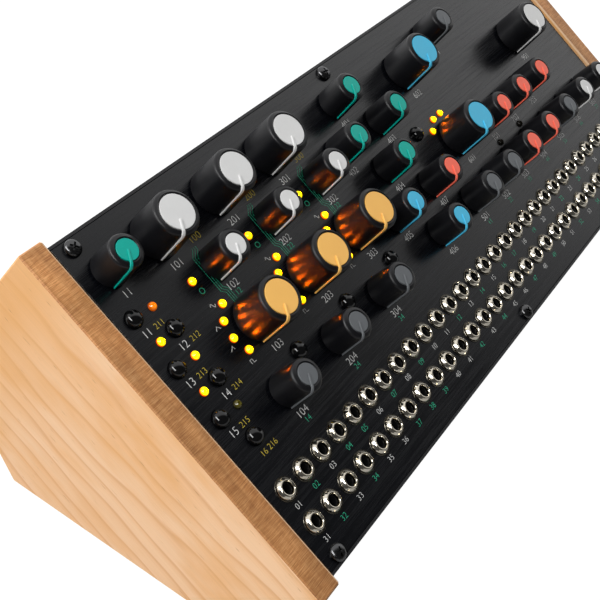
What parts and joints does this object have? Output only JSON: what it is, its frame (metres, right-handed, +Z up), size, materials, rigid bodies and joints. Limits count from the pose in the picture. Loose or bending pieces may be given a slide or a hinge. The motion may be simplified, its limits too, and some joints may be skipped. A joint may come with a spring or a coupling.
{
  "type": "semi-modular synthesizer",
  "caption": "Semi-modular synthesizer: sloping black panel with turning knobs, push-buttons, lamps and rows of patch sockets, in a folded steel case between wooden cheeks.",
  "frame": {"origin": "centre of the base on the desk, at the underside of the rubber foot strips", "axes": "+Z up, +X to the player's right along the panel, +Y to the rear; the player faces +Y and the panel slopes down towards -Y at 28 degrees"},
  "size_m": [0.3312, 0.1524, 0.1171],
  "materials": {
    "black_case_paint": "satin",
    "black_panel_paint": "satin",
    "black_rubber": "matte",
    "black_steel": "black, satin",
    "bright_nickel": "bright",
    "button_plastic": "gloss",
    "circuit_board": "satin",
    "honey_wood": "satin, oiled",
    "knob_amber_cap": "matte black, amber cap",
    "knob_blue_cap": "matte black, blue cap",
    "knob_grey_cap": "matte black, grey cap",
    "knob_red_cap": "matte black, red cap",
    "knob_teal_cap": "matte black, teal cap",
    "knob_white_cap": "matte black, white cap",
    "socket_plastic": "matte"
  },
  "bodies": {
    "case": {"case_shell": "black_case_paint", "front_panel": "black_panel_paint", "left_cheek": "honey_wood", "right_cheek": "honey_wood", "control_board": "circuit_board", "jack_board": "bright_nickel", "connector_board": "socket_plastic", "front_foot_strip": "black_rubber", "rear_foot_strip": "black_rubber", "panel_screw_1": "black_steel", "panel_screw_2": "black_steel", "panel_screw_3": "black_steel", "panel_screw_4": "black_steel", "panel_screw_5": "black_steel", "panel_screw_6": "black_steel"},
    "glide_knob": {"glide_knob": "knob_teal_cap"},
    "pitch_knob_1": {"pitch_knob_1": "knob_white_cap"},
    "fine_knob_1": {"fine_knob_1": "knob_white_cap"},
    "shape_knob_1": {"shape_knob_1": "knob_amber_cap"},
    "depth_knob_1": {"depth_knob_1": "knob_grey_cap"},
    "pitch_knob_2": {"pitch_knob_2": "knob_white_cap"},
    "fine_knob_2": {"fine_knob_2": "knob_white_cap"},
    "shape_knob_2": {"shape_knob_2": "knob_amber_cap"},
    "depth_knob_2": {"depth_knob_2": "knob_grey_cap"},
    "pitch_knob_3": {"pitch_knob_3": "knob_white_cap"},
    "fine_knob_3": {"fine_knob_3": "knob_white_cap"},
    "shape_knob_3": {"shape_knob_3": "knob_amber_cap"},
    "depth_knob_3": {"depth_knob_3": "knob_grey_cap"},
    "mod_knob_1": {"mod_knob_1": "knob_teal_cap"},
    "mod_knob_2": {"mod_knob_2": "knob_teal_cap"},
    "mod_knob_3": {"mod_knob_3": "knob_teal_cap"},
    "mod_knob_4": {"mod_knob_4": "knob_teal_cap"},
    "mod_knob_5": {"mod_knob_5": "knob_blue_cap"},
    "mod_knob_6": {"mod_knob_6": "knob_blue_cap"},
    "mod_knob_7": {"mod_knob_7": "knob_red_cap"},
    "row_knob_1": {"row_knob_1": "knob_grey_cap"},
    "row_knob_2": {"row_knob_2": "knob_grey_cap"},
    "row_knob_3": {"row_knob_3": "knob_red_cap"},
    "row_knob_4": {"row_knob_4": "knob_red_cap"},
    "row_knob_5": {"row_knob_5": "knob_grey_cap"},
    "row_knob_6": {"row_knob_6": "knob_white_cap"},
    "row_knob_7": {"row_knob_7": "knob_white_cap"},
    "cutoff_knob_1": {"cutoff_knob_1": "knob_blue_cap"},
    "cutoff_knob_2": {"cutoff_knob_2": "knob_blue_cap"},
    "mix_knob_1": {"mix_knob_1": "knob_red_cap"},
    "mix_knob_2": {"mix_knob_2": "knob_red_cap"},
    "mix_knob_3": {"mix_knob_3": "knob_red_cap"},
    "noise_knob": {"noise_knob": "knob_grey_cap"},
    "main_knob": {"main_knob": "knob_white_cap"},
    "button_01": {"button_01": "button_plastic"},
    "button_02": {"button_02": "button_plastic"},
    "button_03": {"button_03": "button_plastic"},
    "button_04": {"button_04": "button_plastic"},
    "button_05": {"button_05": "button_plastic"},
    "button_06": {"button_06": "button_plastic"},
    "button_07": {"button_07": "button_plastic"},
    "button_08": {"button_08": "button_plastic"},
    "button_09": {"button_09": "button_plastic"},
    "button_10": {"button_10": "button_plastic"},
    "power_rocker": {"power_rocker": "socket_plastic"}
  },
  "joints": [
    {"name": "glide_knob_turn", "type": "hinge", "parent": "case", "child": "glide_knob", "pos_m": [-0.14375, 0.0276, 0.09878], "axis": [0, 0.4695, -0.8829], "range_deg": [0, 300]},
    {"name": "pitch_knob_1_turn", "type": "hinge", "parent": "case", "child": "pitch_knob_1", "pos_m": [-0.12165, 0.0276, 0.09878], "axis": [0, 0.4695, -0.8829], "range_deg": [0, 300]},
    {"name": "fine_knob_1_turn", "type": "hinge", "parent": "case", "child": "fine_knob_1", "pos_m": [-0.10945, 0.011, 0.08996], "axis": [0, 0.4695, -0.8829], "range_deg": [0, 300]},
    {"name": "shape_knob_1_turn", "type": "hinge", "parent": "case", "child": "shape_knob_1", "pos_m": [-0.11195, -0.00843, 0.07963], "axis": [0, 0.4695, -0.8829], "range_deg": [0, 300]},
    {"name": "depth_knob_1_turn", "type": "hinge", "parent": "case", "child": "depth_knob_1", "pos_m": [-0.12235, -0.02913, 0.06862], "axis": [0, 0.4695, -0.8829], "range_deg": [0, 300]},
    {"name": "pitch_knob_2_turn", "type": "hinge", "parent": "case", "child": "pitch_knob_2", "pos_m": [-0.09015, 0.0276, 0.09878], "axis": [0, 0.4695, -0.8829], "range_deg": [0, 300]},
    {"name": "fine_knob_2_turn", "type": "hinge", "parent": "case", "child": "fine_knob_2", "pos_m": [-0.07795, 0.011, 0.08996], "axis": [0, 0.4695, -0.8829], "range_deg": [0, 300]},
    {"name": "shape_knob_2_turn", "type": "hinge", "parent": "case", "child": "shape_knob_2", "pos_m": [-0.08045, -0.00843, 0.07963], "axis": [0, 0.4695, -0.8829], "range_deg": [0, 300]},
    {"name": "depth_knob_2_turn", "type": "hinge", "parent": "case", "child": "depth_knob_2", "pos_m": [-0.09085, -0.02913, 0.06862], "axis": [0, 0.4695, -0.8829], "range_deg": [0, 300]},
    {"name": "pitch_knob_3_turn", "type": "hinge", "parent": "case", "child": "pitch_knob_3", "pos_m": [-0.05865, 0.0276, 0.09878], "axis": [0, 0.4695, -0.8829], "range_deg": [0, 300]},
    {"name": "fine_knob_3_turn", "type": "hinge", "parent": "case", "child": "fine_knob_3", "pos_m": [-0.04645, 0.011, 0.08996], "axis": [0, 0.4695, -0.8829], "range_deg": [0, 300]},
    {"name": "shape_knob_3_turn", "type": "hinge", "parent": "case", "child": "shape_knob_3", "pos_m": [-0.04895, -0.00843, 0.07963], "axis": [0, 0.4695, -0.8829], "range_deg": [0, 300]},
    {"name": "depth_knob_3_turn", "type": "hinge", "parent": "case", "child": "depth_knob_3", "pos_m": [-0.05935, -0.02913, 0.06862], "axis": [0, 0.4695, -0.8829], "range_deg": [0, 300]},
    {"name": "mod_knob_1_turn", "type": "hinge", "parent": "case", "child": "mod_knob_1", "pos_m": [-0.0126, 0.02755, 0.09876], "axis": [0, 0.4695, -0.8829], "range_deg": [0, 300]},
    {"name": "mod_knob_2_turn", "type": "hinge", "parent": "case", "child": "mod_knob_2", "pos_m": [-0.02765, 0.01338, 0.09123], "axis": [0, 0.4695, -0.8829], "range_deg": [0, 300]},
    {"name": "mod_knob_3_turn", "type": "hinge", "parent": "case", "child": "mod_knob_3", "pos_m": [0.00245, 0.01338, 0.09123], "axis": [0, 0.4695, -0.8829], "range_deg": [0, 300]},
    {"name": "mod_knob_4_turn", "type": "hinge", "parent": "case", "child": "mod_knob_4", "pos_m": [-0.0126, -0.00079, 0.08369], "axis": [0, 0.4695, -0.8829], "range_deg": [0, 300]},
    {"name": "mod_knob_5_turn", "type": "hinge", "parent": "case", "child": "mod_knob_5", "pos_m": [-0.02765, -0.01496, 0.07616], "axis": [0, 0.4695, -0.8829], "range_deg": [0, 300]},
    {"name": "mod_knob_6_turn", "type": "hinge", "parent": "case", "child": "mod_knob_6", "pos_m": [-0.0126, -0.02913, 0.06862], "axis": [0, 0.4695, -0.8829], "range_deg": [0, 300]},
    {"name": "mod_knob_7_turn", "type": "hinge", "parent": "case", "child": "mod_knob_7", "pos_m": [0.00245, -0.01496, 0.07616], "axis": [0, 0.4695, -0.8829], "range_deg": [0, 300]},
    {"name": "row_knob_1_turn", "type": "hinge", "parent": "case", "child": "row_knob_1", "pos_m": [0.01665, -0.02913, 0.06862], "axis": [0, 0.4695, -0.8829], "range_deg": [0, 300]},
    {"name": "row_knob_2_turn", "type": "hinge", "parent": "case", "child": "row_knob_2", "pos_m": [0.03685, -0.02913, 0.06862], "axis": [0, 0.4695, -0.8829], "range_deg": [0, 300]},
    {"name": "row_knob_3_turn", "type": "hinge", "parent": "case", "child": "row_knob_3", "pos_m": [0.05705, -0.02913, 0.06862], "axis": [0, 0.4695, -0.8829], "range_deg": [0, 300]},
    {"name": "row_knob_4_turn", "type": "hinge", "parent": "case", "child": "row_knob_4", "pos_m": [0.07725, -0.02913, 0.06862], "axis": [0, 0.4695, -0.8829], "range_deg": [0, 300]},
    {"name": "row_knob_5_turn", "type": "hinge", "parent": "case", "child": "row_knob_5", "pos_m": [0.09745, -0.02913, 0.06862], "axis": [0, 0.4695, -0.8829], "range_deg": [0, 300]},
    {"name": "row_knob_6_turn", "type": "hinge", "parent": "case", "child": "row_knob_6", "pos_m": [0.11765, -0.02913, 0.06862], "axis": [0, 0.4695, -0.8829], "range_deg": [0, 300]},
    {"name": "row_knob_7_turn", "type": "hinge", "parent": "case", "child": "row_knob_7", "pos_m": [0.13785, -0.02913, 0.06862], "axis": [0, 0.4695, -0.8829], "range_deg": [0, 300]},
    {"name": "cutoff_knob_1_turn", "type": "hinge", "parent": "case", "child": "cutoff_knob_1", "pos_m": [0.03485, -0.0086, 0.07954], "axis": [0, 0.4695, -0.8829], "range_deg": [0, 300]},
    {"name": "cutoff_knob_2_turn", "type": "hinge", "parent": "case", "child": "cutoff_knob_2", "pos_m": [0.03485, 0.0223, 0.09597], "axis": [0, 0.4695, -0.8829], "range_deg": [0, 300]},
    {"name": "mix_knob_1_turn", "type": "hinge", "parent": "case", "child": "mix_knob_1", "pos_m": [0.05825, -0.01108, 0.07822], "axis": [0, 0.4695, -0.8829], "range_deg": [0, 300]},
    {"name": "mix_knob_2_turn", "type": "hinge", "parent": "case", "child": "mix_knob_2", "pos_m": [0.07845, -0.01108, 0.07822], "axis": [0, 0.4695, -0.8829], "range_deg": [0, 300]},
    {"name": "mix_knob_3_turn", "type": "hinge", "parent": "case", "child": "mix_knob_3", "pos_m": [0.09865, -0.01108, 0.07822], "axis": [0, 0.4695, -0.8829], "range_deg": [0, 300]},
    {"name": "noise_knob_turn", "type": "hinge", "parent": "case", "child": "noise_knob", "pos_m": [0.06415, 0.0276, 0.09878], "axis": [0, 0.4695, -0.8829], "range_deg": [0, 300]},
    {"name": "main_knob_turn", "type": "hinge", "parent": "case", "child": "main_knob", "pos_m": [0.11765, 0.00636, 0.08749], "axis": [0, 0.4695, -0.8829], "range_deg": [0, 300]},
    {"name": "button_01_press", "type": "slide", "parent": "case", "child": "button_01", "axis": [0, 0.4695, -0.8829], "range_m": [0, 0.001], "stiffness_N_per_m": 600},
    {"name": "button_02_press", "type": "slide", "parent": "case", "child": "button_02", "axis": [0, 0.4695, -0.8829], "range_m": [0, 0.001], "stiffness_N_per_m": 600},
    {"name": "button_03_press", "type": "slide", "parent": "case", "child": "button_03", "axis": [0, 0.4695, -0.8829], "range_m": [0, 0.001], "stiffness_N_per_m": 600},
    {"name": "button_04_press", "type": "slide", "parent": "case", "child": "button_04", "axis": [0, 0.4695, -0.8829], "range_m": [0, 0.001], "stiffness_N_per_m": 600},
    {"name": "button_05_press", "type": "slide", "parent": "case", "child": "button_05", "axis": [0, 0.4695, -0.8829], "range_m": [0, 0.001], "stiffness_N_per_m": 600},
    {"name": "button_06_press", "type": "slide", "parent": "case", "child": "button_06", "axis": [0, 0.4695, -0.8829], "range_m": [0, 0.001], "stiffness_N_per_m": 600},
    {"name": "button_07_press", "type": "slide", "parent": "case", "child": "button_07", "axis": [0, 0.4695, -0.8829], "range_m": [0, 0.001], "stiffness_N_per_m": 600},
    {"name": "button_08_press", "type": "slide", "parent": "case", "child": "button_08", "axis": [0, 0.4695, -0.8829], "range_m": [0, 0.001], "stiffness_N_per_m": 600},
    {"name": "button_09_press", "type": "slide", "parent": "case", "child": "button_09", "axis": [0, 0.4695, -0.8829], "range_m": [0, 0.001], "stiffness_N_per_m": 600},
    {"name": "button_10_press", "type": "slide", "parent": "case", "child": "button_10", "axis": [0, 0.4695, -0.8829], "range_m": [0, 0.001], "stiffness_N_per_m": 600},
    {"name": "power_rocker_tilt", "type": "hinge", "parent": "case", "child": "power_rocker", "pos_m": [0.09485, 0.05636, 0.07557], "axis": [1, 0, 0], "range_deg": [0, 16]}
  ]
}
